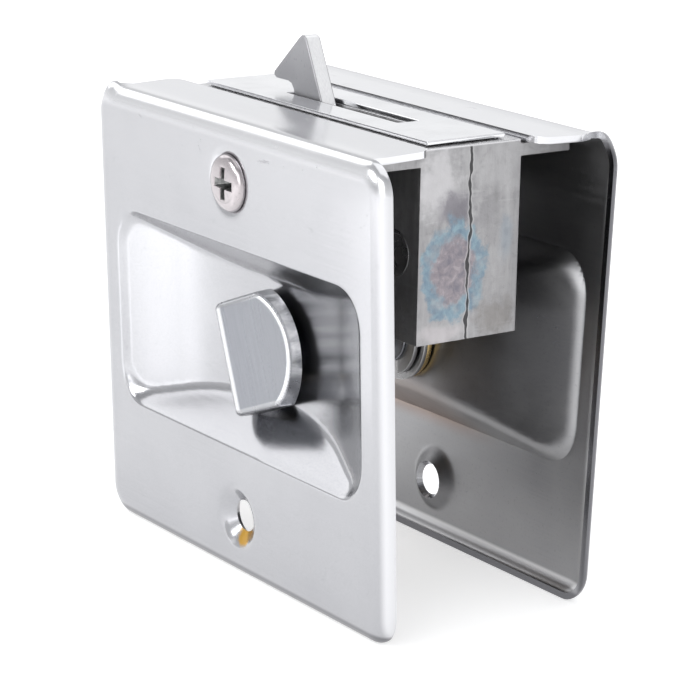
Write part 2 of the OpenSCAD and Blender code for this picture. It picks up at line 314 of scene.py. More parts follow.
def satin_plate(name):
    """Satin-plated pressed sheet: fine grain, faint level brushing, soft blotches and handling marks."""
    n = Nodes(name)
    p = n.xyz(n.mm)
    brush = n.noise(n.map(n.mm, (0.06, 3.0, 7.0)), 1.0, 4.0, 0.6)
    grain = n.noise(n.mm, 4.5, 3.0, 0.6)
    blotch = n.noise(n.mm, 0.055, 3.0, 0.55, 0.4)
    cloud = n.noise(n.map(n.mm, (0.02, 0.05, 0.05)), 1.0, 2.0)
    col = n.ramp(blotch, [(0.30, (0.365, 0.366, 0.383)), (0.70, (0.405, 0.407, 0.423))])
    col = n.mix(n.step(brush, 0.3, 0.7, 0.0, 0.32), col, (0.44, 0.442, 0.457))
    col = n.mix(n.step(grain, 0.38, 0.70, 0.0, 0.26), col, (0.30, 0.302, 0.318))
    # small dark scuffs, thicker along the top bend
    top = n.step(p[2], 48.0, 62.0, 0.12, 1.0)
    spots = n.noise(n.map(n.mm, (0.75, 0.75, 1.0)), 0.6, 5.0, 0.64, 0.7)
    scuff = n.math("MULTIPLY", n.step(spots, 0.625, 0.70), top)
    col = n.mix(n.math("MULTIPLY", scuff, 0.62), col, (0.17, 0.17, 0.185))
    rough = n.math("ADD", n.step(blotch, 0.3, 0.7, 0.165, 0.225), n.step(brush, 0.3, 0.7, -0.02, 0.02))
    rough = n.math("ADD", rough, n.math("MULTIPLY", scuff, 0.15))
    rear = n.step(p[1], -1.0, 1.0)
    fore = n.math("SUBTRACT", 1.0, rear)
    # painted light: the front plate is lightened towards its top, and a painted highlight runs along its top bend
    col = n.mix(n.math("MULTIPLY", fore, n.step(p[2], 46.0, 60.0, 0.0, 0.2)), col, (0.62, 0.622, 0.638))
    col = n.mix(n.math("MULTIPLY", fore, n.step(p[2], 60.4, 62.0, 0.0, 0.85)), col, (0.68, 0.682, 0.698))
    # painted highlight: the tabs and the back half of the top bend are lightened; their roughness drops a little
    tab = n.math("MULTIPLY", n.step(p[2], 62.6, 62.9), n.step(n.math("ABSOLUTE", p[1]), 18.6, 16.6))
    col = n.mix(n.math("MULTIPLY", tab, 0.85), col, (0.80, 0.802, 0.82))
    rough = n.math("MULTIPLY", rough, n.math("SUBTRACT", 1.0, n.math("MULTIPLY", tab, 0.12)))
    # painted highlight on the front plate's side returns, painted shade on the rear plate's
    lip = n.step(n.math("ABSOLUTE", p[0]), 33.4, 34.6)
    col = n.mix(n.math("MULTIPLY", lip, n.math("SUBTRACT", 0.8, n.math("MULTIPLY", rear, 0.8))), col, (0.66, 0.662, 0.678))
    col = n.mix(n.math("MULTIPLY", n.math("MULTIPLY", lip, rear), 0.8), col, (0.10, 0.10, 0.11))
    # painted shade along the lower return, where the plates meet the floor
    foot = n.step(p[2], 1.9, 1.2)
    col = n.mix(n.math("MULTIPLY", foot, 0.8), col, (0.12, 0.12, 0.13))
    # painted highlight: a brass-coloured glint low on the wall of the front plate's open dimple
    dx, dz = n.math("SUBTRACT", p[0], 0.6), n.math("SUBTRACT", p[2], HOLE_Z[0] - 2.4)
    near = n.math("SQRT", n.math("ADD", n.math("MULTIPLY", dx, dx), n.math("MULTIPLY", dz, dz)))
    near = n.math("ADD", near, n.math("MULTIPLY", n.math("SUBTRACT", n.noise(n.mm, 0.8, 3.0), 0.5), 1.2))
    sunk = n.step(p[1], -17.2, -16.7)
    gold_glint = n.math("MULTIPLY", n.math("MULTIPLY", n.step(near, 1.9, 1.2), sunk), n.step(p[1], -10.0, -12.0))
    col = n.mix(gold_glint, col, (0.62, 0.36, 0.07))
    h = n.math("ADD", n.math("MULTIPLY", brush, 0.5), n.math("MULTIPLY", grain, 0.5))
    bump = n.bump(h, 0.10, 0.010, n.bump(cloud, 0.22, 0.25))
    return n.set(Base_Color=col, Metallic=1.0, Roughness=rough, Normal=bump)


def raw_inside(name):
    """The pressing's inner side: unplated steel, darker, with drawing marks, a brown heat tint low on the dish,
    a dark ring round the lower hole and a painted highlight along the lower bend."""
    n = Nodes(name)
    p = n.xyz(n.mm)
    brush = n.noise(n.map(n.mm, (0.08, 2.0, 3.5)), 1.0, 5.0, 0.65)
    grain = n.noise(n.mm, 2.4, 4.0, 0.62)
    wide = n.noise(n.mm, 0.06, 3.0, 0.5, 0.6)
    col = n.ramp(wide, [(0.3, (0.272, 0.273, 0.283)), (0.7, (0.345, 0.345, 0.353))])
    col = n.mix(n.step(brush, 0.3, 0.75, 0.0, 0.4), col, (0.345, 0.341, 0.341))
    col = n.mix(n.step(grain, 0.55, 0.78, 0.0, 0.35), col, (0.175, 0.172, 0.172))
    brown = n.math("MULTIPLY", n.math("MULTIPLY", n.step(p[2], 15.5, 18.0), n.step(p[2], 27.0, 20.0)), n.step(p[0], 16.0, 2.0))
    col = n.mix(n.math("MULTIPLY", brown, 0.55), col, (0.30, 0.20, 0.15))
    hz = n.math("SUBTRACT", p[2], HOLE_Z[0])
    hole = n.math("SQRT", n.math("ADD", n.math("MULTIPLY", p[0], p[0]), n.math("MULTIPLY", hz, hz)))
    col = n.mix(n.step(hole, 4.9, 3.9, 0.0, 0.6), col, (0.12, 0.12, 0.125))
    # painted highlight along the lower bend
    line = n.math("MULTIPLY", n.step(p[2], 1.5, 1.9), n.step(p[2], 2.9, 2.3))
    col = n.mix(n.math("MULTIPLY", line, 0.75), col, (0.80, 0.80, 0.81))
    rough = n.math("ADD", n.step(wide, 0.3, 0.7, 0.30, 0.40), n.step(brush, 0.3, 0.7, -0.03, 0.04))
    h = n.math("ADD", n.math("MULTIPLY", brush, 0.6), n.math("MULTIPLY", grain, 0.4))
    return n.set(Base_Color=col, Metallic=1.0, Roughness=rough, Normal=n.bump(h, 0.25, 0.02))


def cast_zinc(name):
    """Raw die-cast zinc: drawn streaks and pits, bright milled seat, painted shade on the sides that face the plates,
    and on the +X end a smeared patch, a parting crack and an oval temper-coloured mark."""
    n = Nodes(name)
    p = n.xyz(n.mm)
    wide = n.noise(n.mm, 0.10, 3.0, 0.55, 0.6)
    flow = n.noise(n.map(n.mm, (0.9, 0.9, 0.10)), 1.0, 4.0, 0.6, 0.5)
    cross = n.noise(n.map(n.mm, (0.12, 0.12, 1.6)), 1.0, 4.0, 0.62, 0.3)
    skin = n.noise(n.mm, 0.9, 5.0, 0.62, 0.3)
    fine = n.noise(n.mm, 3.0, 3.0, 0.6)
    col = n.ramp(flow, [(0.30, (0.30, 0.297, 0.304)), (0.55, (0.355, 0.351, 0.358)), (0.75, (0.42, 0.416, 0.423))])
    col = n.mix(n.step(wide, 0.38, 0.68, 0.0, 0.5), col, (0.44, 0.435, 0.442))
    col = n.mix(n.step(skin, 0.52, 0.76, 0.0, 0.42), col, (0.24, 0.237, 0.24))
    col = n.mix(n.step(cross, 0.60, 0.72, 0.0, 0.30), col, (0.52, 0.516, 0.524))
    col = n.mix(n.step(fine, 0.60, 0.80, 0.0, 0.35), col, (0.17, 0.167, 0.167))

    end = n.step(p[0], 27.0, 27.4)
    wob = n.math("MULTIPLY", n.math("SUBTRACT", n.noise(n.mm, 0.42, 4.0, 0.62), 0.5), 1.9)

    def oval(y0, z0, ry, rz, wobble=1.0):
        dy = n.math("DIVIDE", n.math("SUBTRACT", p[1], y0), ry)
        dz = n.math("DIVIDE", n.math("SUBTRACT", p[2], z0), rz)
        d = n.math("SQRT", n.math("ADD", n.math("MULTIPLY", dy, dy), n.math("MULTIPLY", dz, dz)))
        return n.math("ADD", d, n.math("MULTIPLY", wob, wobble))

    def patch(col, d, a, b, amount, shade_to):
        f = n.math("MULTIPLY", n.math("MULTIPLY", n.step(d, b, a), end), amount)
        return n.mix(f, col, shade_to)

    col = patch(col, oval(-5.2, 58.6, 4.6, 6.0), 0.35, 1.15, 0.85, (0.56, 0.552, 0.563))
    col = patch(col, oval(4.5, 59.8, 4.0, 4.0), 0.3, 1.15, 0.45, (0.47, 0.466, 0.474))
    col = patch(col, oval(-2.0, 54.6, 3.6, 3.2), 0.25, 1.2, 0.75, (0.165, 0.155, 0.18))
    col = patch(col, oval(2.6, 53.6, 2.8, 3.8), 0.3, 1.2, 0.50, (0.24, 0.237, 0.247))
    col = patch(col, oval(5.9, 50.4, 1.2, 3.6), 0.3, 1.2, 0.55, (0.30, 0.345, 0.39))
    col = patch(col, oval(4.4, 45.5, 3.4, 4.4), 0.3, 1.2, 0.40, (0.42, 0.415, 0.42))
    col = patch(col, oval(4.6, 40.0, 3.8, 2.8), 0.4, 1.15, 0.60, (0.235, 0.22, 0.208))
    col = patch(col, oval(-4.6, 38.8, 4.4, 1.5), 0.4, 1.2, 0.6, (0.54, 0.51, 0.522))
    er = oval(-2.5, 46.9, 4.55, 6.0, 0.55)
    core = n.math("MULTIPLY", n.step(er, 0.95, 0.6), end)
    mot = n.noise(n.mm, 0.8, 4.0, 0.6, 0.5)
    col = n.mix(n.math("MULTIPLY", core, 0.75), col,
                n.ramp(mot, [(0.32, (0.15, 0.14, 0.18)), (0.55, (0.28, 0.243, 0.268)), (0.72, (0.42, 0.376, 0.397))]))
    ring = n.math("MULTIPLY", n.step(er, 0.62, 0.86), n.step(er, 1.22, 1.0))
    ring = n.math("MULTIPLY", ring, n.step(n.noise(n.mm, 0.6, 3.0), 0.3, 0.55, 0.55, 1.0))
    col = n.mix(n.math("MULTIPLY", n.math("MULTIPLY", ring, end), 0.85), col,
                n.ramp(mot, [(0.35, (0.155, 0.235, 0.31)), (0.65, (0.26, 0.375, 0.435))]))
    # wavy parting crack that opens and closes
    nz = n.noise(n.map(n.mm, (0.0, 0.0, 0.16)), 1.0, 3.0, 0.6)
    nw = n.noise(n.map(n.mm, (0.0, 0.0, 0.23), (0, 0, 0), (0, 0, 7.3)), 1.0, 2.0)
    off = n.math("ABSOLUTE", n.math("SUBTRACT", n.math("ADD", p[1], 0.05), n.math("MULTIPLY", n.math("SUBTRACT", nz, 0.5), 2.2)))
    gap = n.math("SUBTRACT", off, n.step(nw, 0.40, 0.62, 0.03, 0.30))
    col = n.mix(n.math("MULTIPLY", n.math("MULTIPLY", n.step(gap, 0.32, 0.12), end), 0.5), col, (0.52, 0.516, 0.52))
    crack = n.math("MULTIPLY", n.step(gap, 0.07, 0.0), end)
    col = n.mix(n.math("MULTIPLY", crack, 0.92), col, (0.05, 0.05, 0.052))

    seat = n.step(p[2], 62.85, 63.05)
    col = n.mix(n.math("MULTIPLY", seat, 0.85), col, (0.70, 0.698, 0.71))
    # painted shade on the sides that face the plates, below the seat
    side = n.math("MULTIPLY", n.step(n.math("ABSOLUTE", p[1]), 8.15, 8.36), n.step(p[2], 60.4, 60.0))
    col = n.mix(n.math("MULTIPLY", side, 0.8), col, (0.10, 0.098, 0.095))
    hb = n.math("ADD", n.math("MULTIPLY", skin, 0.6), n.math("MULTIPLY", fine, 0.4))
    hb = n.math("SUBTRACT", hb, n.math("MULTIPLY", crack, 1.2))
    hb = n.math("MULTIPLY", hb, n.math("SUBTRACT", 1.0, n.math("MULTIPLY", seat, 0.9)))
    bump = n.bump(hb, 0.45, 0.10, n.bump(wide, 0.25, 0.3))
    rough = n.math("SUBTRACT", n.step(skin, 0.3, 0.7, 0.40, 0.52), n.math("MULTIPLY", seat, 0.18))
    return n.set(Base_Color=col, Metallic=0.92, Roughness=rough, Normal=bump)


def polished(name, base, r0, r1, scratch=0.1, speck=0.1, edge_y=None, recess=None):
    """Bright plated steel: hairline scratches both ways, faint clouding and specks.
    edge_y: sheared edges, inside this distance from the middle plane, get a painted highlight streaked with shear
    lines.
    recess: (radius, y, z) of a driver recess whose inside is dull and darkened with painted shade."""
    n = Nodes(name)
    p = n.xyz(n.mm)
    cloud = n.noise(n.mm, 0.12, 3.0, 0.55)
    s1 = n.noise(n.map(n.mm, (0.10, 3.5, 3.5), (0.0, 0.0, 0.12)), 1.2, 3.0, 0.6)
    s2 = n.noise(n.map(n.mm, (3.0, 0.15, 3.0), (0.0, 0.0, -0.3)), 1.3, 3.0, 0.6)
    sp = n.noise(n.mm, 1.7, 4.0, 0.65)
    dark = tuple(c * 0.80 for c in base)
    col = n.mix(n.step(cloud, 0.3, 0.7, 0.0, 0.5), base, dark)
    col = n.mix(n.step(sp, 0.58, 0.72, 0.0, speck), col, tuple(c * 0.5 for c in base))
    scr = n.math("MAXIMUM", n.step(s1, 0.62, 0.72), n.step(s2, 0.64, 0.74))
    col = n.mix(n.math("MULTIPLY", scr, scratch), col, tuple(min(1.0, c * 1.12) for c in base))
    rough = n.math("ADD", n.step(cloud, 0.3, 0.7, r0, r1), n.math("MULTIPLY", scr, 0.08))
    ay = n.math("ABSOLUTE", p[1])
    # painted highlight on the sheared edges, streaked with shear lines
    if edge_y is not None:
        cut = n.step(ay, edge_y, edge_y - 0.12)
        lines = n.noise(n.map(n.mm, (2.0, 8.0, 2.0)), 1.0, 3.0)
        col = n.mix(cut, col, n.ramp(lines, [(0.3, (0.86, 0.86, 0.87)), (0.7, (0.97, 0.97, 0.975))]))
    if recess is not None:
        rr, ry, rz = recess
        dz = n.math("SUBTRACT", p[2], rz)
        rad = n.math("SQRT", n.math("ADD", n.math("MULTIPLY", p[0], p[0]), n.math("MULTIPLY", dz, dz)))
        # painted shade inside the driver recess, which is also rougher
        deep = n.math("MULTIPLY", n.step(rad, rr, rr - 0.15), n.step(ay, ry, ry - 0.22))
        tint = n.ramp(sp, [(0.35, (0.05, 0.055, 0.055)), (0.65, (0.22, 0.225, 0.22))])
        col = n.mix(n.math("MULTIPLY", deep, 0.93), col, tint)
        rough = n.math("ADD", rough, n.math("MULTIPLY", deep, 0.2))
    h = n.math("ADD", n.math("MULTIPLY", scr, -0.6), n.math("MULTIPLY", sp, 0.4))
    return n.set(Base_Color=col, Metallic=1.0, Roughness=rough, Normal=n.bump(h, 0.18, 0.01))


def brushed_turn(name):
    """Satin knob: dull faces with lines drawn along the ridge, a brushed rim with painted highlight patches, wear and a
    painted highlight on the ridge and face edge, painted light across the shallow face and on the chord ends, and
    painted shade low on the rim and on the lower end.
    """
    n = Nodes(name)
    q = n.map(n.map(n.mm, loc=(0, 0, -AX_Z)), rot=(0.0, math.radians(-TURN_DEG), 0.0))     # ridge upright
    c = n.xyz(q)
    lines = n.noise(n.map(q, (4.0, 2.5, 0.07)), 1.0, 5.0, 0.62)
    wide = n.noise(n.map(q, (0.5, 0.3, 0.06)), 1.0, 3.0)
    grain = n.noise(n.mm, 3.0, 3.0, 0.6)
    rad = n.math("SQRT", n.math("ADD", n.math("MULTIPLY", c[0], c[0]), n.math("MULTIPLY", c[2], c[2])))
    over = n.math("SUBTRACT", c[1], n.math("ADD", n.math("MULTIPLY", c[0], RIGHT_SLOPE), TURN_TOP + 2.45 * RIGHT_SLOPE))
    front = n.step(c[1], -11.0, -12.0)
    # the face's rim edge and the ridge carry wear and a painted highlight
    rim = n.math("MULTIPLY", n.step(rad, 8.55, 8.78), n.step(over, 0.48, 0.30))
    ridge = n.math("MULTIPLY", n.step(c[0], -4.9, -4.2), n.step(c[0], -1.9, -2.5))
    wear_and_highlight = n.math("MULTIPLY", n.math("MAXIMUM", rim, ridge), front)
    band = n.math("MULTIPLY", n.math("MULTIPLY", n.step(rad, 8.7, 8.9), n.step(over, 0.3, 0.6)), front)
    patchy = n.noise(n.map(n.mm, (0.45, 0.2, 0.45)), 1.0, 4.0, 0.6, 0.4)
    col = n.ramp(lines, [(0.25, (0.185, 0.192, 0.213)), (0.75, (0.245, 0.252, 0.272))])
    col = n.mix(n.step(wide, 0.35, 0.7, 0.0, 0.4), col, (0.225, 0.232, 0.252))
    # painted light: the face lightens towards its long shallow side
    col = n.mix(n.step(c[0], -3.0, 8.0, 0.0, 0.35), col, (0.275, 0.282, 0.298))
    col = n.mix(n.step(grain, 0.55, 0.75, 0.0, 0.15), col, (0.155, 0.162, 0.175))
    # brushed rim band, painted with light and dark patches of reflection
    col = n.mix(band, col, n.ramp(patchy, [(0.35, (0.30, 0.305, 0.32)), (0.5, (0.66, 0.665, 0.68)), (0.66, (0.95, 0.95, 0.955))]))
    col = n.mix(n.math("MULTIPLY", wear_and_highlight, 0.9), col, (0.66, 0.665, 0.68))
    # painted highlight on both chord ends
    ends = n.math("MULTIPLY", n.step(n.math("ABSOLUTE", c[2]), 6.85, 7.2), front)
    col = n.mix(n.math("MULTIPLY", ends, 0.8), col, (0.42, 0.425, 0.44))
    rough = n.math("SUBTRACT", n.step(lines, 0.3, 0.7, 0.26, 0.36), n.math("MULTIPLY", wear_and_highlight, 0.06))
    h = n.math("ADD", n.math("MULTIPLY", lines, 0.8), n.math("MULTIPLY", grain, 0.2))
    # painted shade on the lower part of the rim band and on the lower chord end; the upper band gets more roughness
    over_half = n.math("MULTIPLY", band, n.step(c[2], -5.2, -3.4))
    col = n.mix(n.math("MULTIPLY", n.math("SUBTRACT", band, over_half), 0.9), col, (0.22, 0.225, 0.24))
    low_end = n.math("MULTIPLY", n.math("MULTIPLY", n.step(c[2], -6.7, -7.0), n.step(over, 0.6, 1.0)), front)
    col = n.mix(n.math("MULTIPLY", low_end, 0.9), col, (0.24, 0.245, 0.26))
    rough = n.math("ADD", rough, n.math("MULTIPLY", over_half, 0.22))
    return n.set(Base_Color=col, Metallic=1.0, Roughness=rough, Normal=n.bump(h, 0.22, 0.015))


def brass_like(name):
    n = Nodes(name)
    c = n.noise(n.mm, 0.4, 4.0, 0.6)
    t = n.noise(n.map(n.mm, (0.6, 6.0, 0.6)), 1.0, 3.0)
    col = n.ramp(c, [(0.3, (0.56, 0.38, 0.15)), (0.7, (0.80, 0.60, 0.28))])
    col = n.mix(n.step(t, 0.45, 0.7, 0.0, 0.3), col, (0.86, 0.70, 0.40))
    return n.set(Base_Color=col, Metallic=1.0, Roughness=n.step(c, 0.3, 0.7, 0.20, 0.34), Normal=n.bump(t, 0.2, 0.02))


M_PLATE = satin_plate("satin_plate")
M_INSIDE = raw_inside("raw_inside")
M_ZINC = cast_zinc("cast_zinc")
M_FACE = polished("polished_face", (0.84, 0.845, 0.86), 0.10, 0.18, 0.25, 0.15)
M_HOOK = polished("hook_steel", (0.33, 0.33, 0.345), 0.46, 0.56, 0.3, 0.6, edge_y=1.08)
M_BRIGHT = polished("bright_steel", (0.45, 0.45, 0.452), 0.22, 0.34, 0.2, 0.3)
M_CHROME = polished("screw_chrome", (0.44, 0.41, 0.42), 0.16, 0.26, 0.3, 0.6, recess=(2.75, 19.93, 55.1))
M_TURN = brushed_turn("brushed_turn")
M_BRASS = brass_like("turned_brass")


# -------------------------------------------------------------- cover plates
def sstep(a, b, v):
    t = np.clip((v - a) / (b - a), 0, 1)
    return t * t * (3 - 2 * t)


def smin(a, b, k):
    h = np.maximum(k - np.abs(a - b), 0) / k
    return np.minimum(a, b) - h * h * k / 4


def smax(a, b, k):
    return -smin(-a, -b, k)


def depth(x, z):
    """How far the plate's outer surface lies in from its face: finger dish and screw dimples."""
    ax, az = np.abs(x), np.abs(z - DISH_Z)
    d = smin((DISH_HW - ax) * END_SLOPE, DISH_D + 0 * ax, 2.6)
    d = smin(d, (DISH_HH - az) * np.where(z < DISH_Z, 1.62 + 0.72 * sstep(4.5, 7.5, x), 1.7), 2.0)
    r = 6.0
    qx, qz = ax - (30.2 - r), az - (DISH_HH - r)
    inside = r - np.hypot(np.maximum(qx, 0), np.maximum(qz, 0)) - np.minimum(np.maximum(qx, qz), 0)
    d = smin(d, inside * 1.25, 1.3)
    d = smax(d, 0 * d, 0.4)
    for hz in HOLE_Z:
        rr = np.hypot(x, z - hz)
        d = np.maximum(d, smax((DIMPLE_R - rr) * DIMPLE_D / (DIMPLE_R - HOLE_R), 0 * rr, 0.45))
    return d


def plate_mesh():
    # outline: base points on the corner-centre rectangle, with their outward directions
    cx, z0, z1 = HALF_W - CORNER_R, CORNER_R, H - CORNER_R
    base, out, top = [], [], []
    corners = [((cx, z0), -90), ((cx, z1), 0), ((-cx, z1), 90), ((-cx, z0), 180)]
    for i, (c, a0) in enumerate(corners):
        for k in range(11):
            a = math.radians(a0 + 9 * k)
            base.append(c)
            out.append((math.cos(a), math.sin(a)))
            top.append(False)
        nxt = corners[(i + 1) % 4][0]
        m = 64 if i in (1, 3) else 58
        a = math.radians(a0 + 90)
        if i == 1:
            top[-1] = True
        for k in range(1, m):
            t = k / m
            base.append((c[0] + (nxt[0] - c[0]) * t, c[1] + (nxt[1] - c[1]) * t))
            out.append((math.cos(a), math.sin(a)))
            top.append(i == 1)
    first_left = 11 + 57 + 11 + 63
    top[first_left] = True
    base, out = np.array(base), np.array(out)
    nb = len(base)
    V = []                                       # (x, w, z)
    F = []

    def ring(s, w):
        p = base + out * (CORNER_R - s)
        i0 = len(V)
        V.extend(zip(p[:, 0], [w] * nb, p[:, 1]))
        return np.arange(i0, i0 + nb)

    steps = 13
    rings = [ring(EDGE_X * (1 - math.sin(t)), EDGE_R * (1 - math.cos(t)))
             for t in np.linspace(0, math.pi / 2, steps)]
    rings.append(ring(0.0, LIP))
    for a, b in zip(rings, rings[1:]):
        for i in range(nb):
            j = (i + 1) % nb
            F.append((a[i], b[i], b[j], a[j]))
    # tab: rows that carry on from the top edge's lip
    ti = [i for i in range(nb) if top[i]]
    prev = [rings[-1][i] for i in ti]
    rc = 2.2
    rows = [2.1, 2.5, 3.1, 4.0, 5.2, 6.4, 7.6, 8.8, 9.3, 9.7, 10.2, 10.55, 10.8, 10.95, 11.0]
    for w in rows:
        lim = cx - (rc - math.sqrt(max(rc * rc - max(w - (TAB_END - rc), 0) ** 2, 0)))
        row = []
        for i in ti:
            row.append(len(V))
            V.append((base[i][0] * lim / cx, w, H))
        for k in range(len(ti) - 1):
            F.append((prev[k], row[k], row[k + 1], prev[k + 1]))
        prev = row
    # the pressed face inside the rounded edge
    zc = H - (H - DROP + DISH_D * ST - AX_Z) / CT
    holes = [(HOLE_Z[0], HOLE_R), (HOLE_Z[1], HOLE_R), (zc, 5.2)]
    pts = [(V[i][0], V[i][2]) for i in rings[0]]
    edges = [(i, (i + 1) % nb) for i in range(nb)]
    for hz, hr in holes:
        k0, m = len(pts), 56
        pts += [(hr * math.cos(2 * math.pi * i / m), hz + hr * math.sin(2 * math.pi * i / m)) for i in range(m)]
        edges += [(k0 + i, k0 + (i + 1) % m) for i in range(m)]
        for g in (0.22, 0.5, 0.85, 1.25, 1.7, 2.1, 2.5) if hr < 3 else (0.5,):
            pts += [((hr + g) * math.cos(2 * math.pi * (i + 0.5) / m), hz + (hr + g) * math.sin(2 * math.pi * (i + 0.5) / m))
                    for i in range(m)]
    # even grid, closer where the dish's rim runs
    gx = np.linspace(-HALF_W + EDGE_X, HALF_W - EDGE_X, 113)[1:-1]
    gz = np.linspace(EDGE_X, H - EDGE_X, 113)[1:-1]
    near = np.arange(-1.0, 1.01, 0.2)
    gx = np.unique(np.round(np.concatenate([gx, -30.4 + near, 30.4 + near]), 3))
    gz = np.unique(np.round(np.concatenate([gz, DISH_Z - DISH_HH + near, DISH_Z + DISH_HH + near]), 3))
    for x in gx:
        for z in gz:
            if any(math.hypot(x, z - hz) < hr + (2.8 if hr < 3 else 0.8) for hz, hr in holes):
                continue
            bx, bz = abs(x) - cx, abs(z - H / 2) - (H / 2 - CORNER_R)
            if bx > 0 and bz > 0 and math.hypot(bx, bz) > CORNER_R - EDGE_X - 0.3:
                continue
            pts.append((x, z))
    ov, _, of, vo, _, _ = delaunay_2d_cdt([Vector(p) for p in pts], edges, [], 0, 1e-7, True)
    idx = {}
    for k, p in enumerate(ov):
        src = [s for s in vo[k] if s < nb]
        if src:
            idx[k] = rings[0][src[0]]
        else:
            idx[k] = len(V)
            V.append((p[0], 0.0, p[1]))
    for t in of:
        c = sum((ov[k] for k in t), Vector((0, 0))) / len(t)
        if any((c - Vector((0, hz))).length < hr - 0.01 for hz, hr in holes):
            continue
        a, b, d = (ov[k] for k in t)
        ccw = (b - a).cross(d - a) > 0
        f = [idx[k] for k in t]
        F.append(tuple(f if ccw else f[::-1]))
    P = np.array(V, float)
    face = np.zeros(len(P), bool)
    face[[v for k, v in idx.items()]] = True
    P[face, 1] = depth(P[face, 0], P[face, 2])
    # step behind the rolled top edge, and the raised ear where the tab starts at one end
    on_tab = (P[:, 2] > H - 0.01) & (P[:, 1] > LIP - 0.01)
    P[on_tab, 2] -= 0.12 * sstep(1.75, 4.0, P[on_tab, 1])
    ear = 0.55 * np.exp(-((P[:, 0] + 32.2) / 1.5) ** 2) * sstep(60.0, 62.5, P[:, 2]) * sstep(4.2, 1.9, P[:, 1])
    P[:, 2] += ear
    # vertex normals: exact on the pressed face, averaged elsewhere
    N = np.zeros_like(P)
    for f in F:
        q = P[list(f)]
        fn = np.cross(q[1] - q[0], q[-1] - q[0]) if len(f) == 3 else np.cross(q[2] - q[0], q[3] - q[1])
        N[list(f)] += fn
    N /= np.maximum(np.linalg.norm(N, axis=1), 1e-12)[:, None]
    e = 0.02
    fx, fz = P[face, 0], P[face, 2]
    gxv = (depth(fx + e, fz) - depth(fx - e, fz)) / (2 * e)
    gzv = (depth(fx, fz + e) - depth(fx, fz - e)) / (2 * e)
    an = np.stack([gxv, -np.ones_like(gxv), gzv], 1)
    N[face] = an / np.linalg.norm(an, axis=1)[:, None]
    inner = P - N * SHEET
    nv = len(P)
    count = {}
    for f in F:
        for a, b in zip(f, f[1:] + f[:1]):
            count[(a, b)] = True
    rim = [(b, a, a + nv, b + nv) for (a, b) in count if (b, a) not in count]
    faces = [tuple(map(int, f)) for f in F]
    back = [tuple(int(i) + nv for i in f[::-1]) for f in F]
    rim = [tuple(map(int, f)) for f in rim]
    allp = np.concatenate([P, inner])
    alln = np.concatenate([N, -N])
    return allp, alln, faces + back, rim


def place_plate(p, n, rear):
    """Lean the plate in about its top edge; the rear one is the same pressing turned half round."""
    x, w, z = p[:, 0], p[:, 1], p[:, 2] - H
    q = np.stack([x, YF + w * CT - z * ST, H - DROP + w * ST + z * CT], 1)
    m = np.stack([n[:, 0], n[:, 1] * CT - n[:, 2] * ST, n[:, 1] * ST + n[:, 2] * CT], 1)
    if rear:
        q[:, :2] *= -1
        m[:, :2] *= -1
    return q * MM, m


plate_p, plate_n, plate_f, plate_rim = plate_mesh()
for node, rear in (("front_plate", False), ("rear_plate", True)):
    q, m = place_plate(plate_p, plate_n, rear)
    me = mesh_from(node + "_pressing", q, plate_f + plate_rim)
    me.polygons.foreach_set("use_smooth", [True] * len(me.polygons))
    loops = []
    for k, f in enumerate(me.polygons):
        if k < len(plate_f):
            loops.extend(tuple(m[v]) for v in f.vertices)
        else:
            loops.extend([tuple(f.normal)] * len(f.vertices))
    me.normals_split_custom_set(loops)
    o = stand(new_obj(node + "_pressing", me), node, M_PLATE)
    me.materials.append(M_INSIDE)
    half = len(plate_f) // 2
    me.polygons.foreach_set("material_index", [1 if half <= k < 2 * half else 0 for k in range(len(me.polygons))])


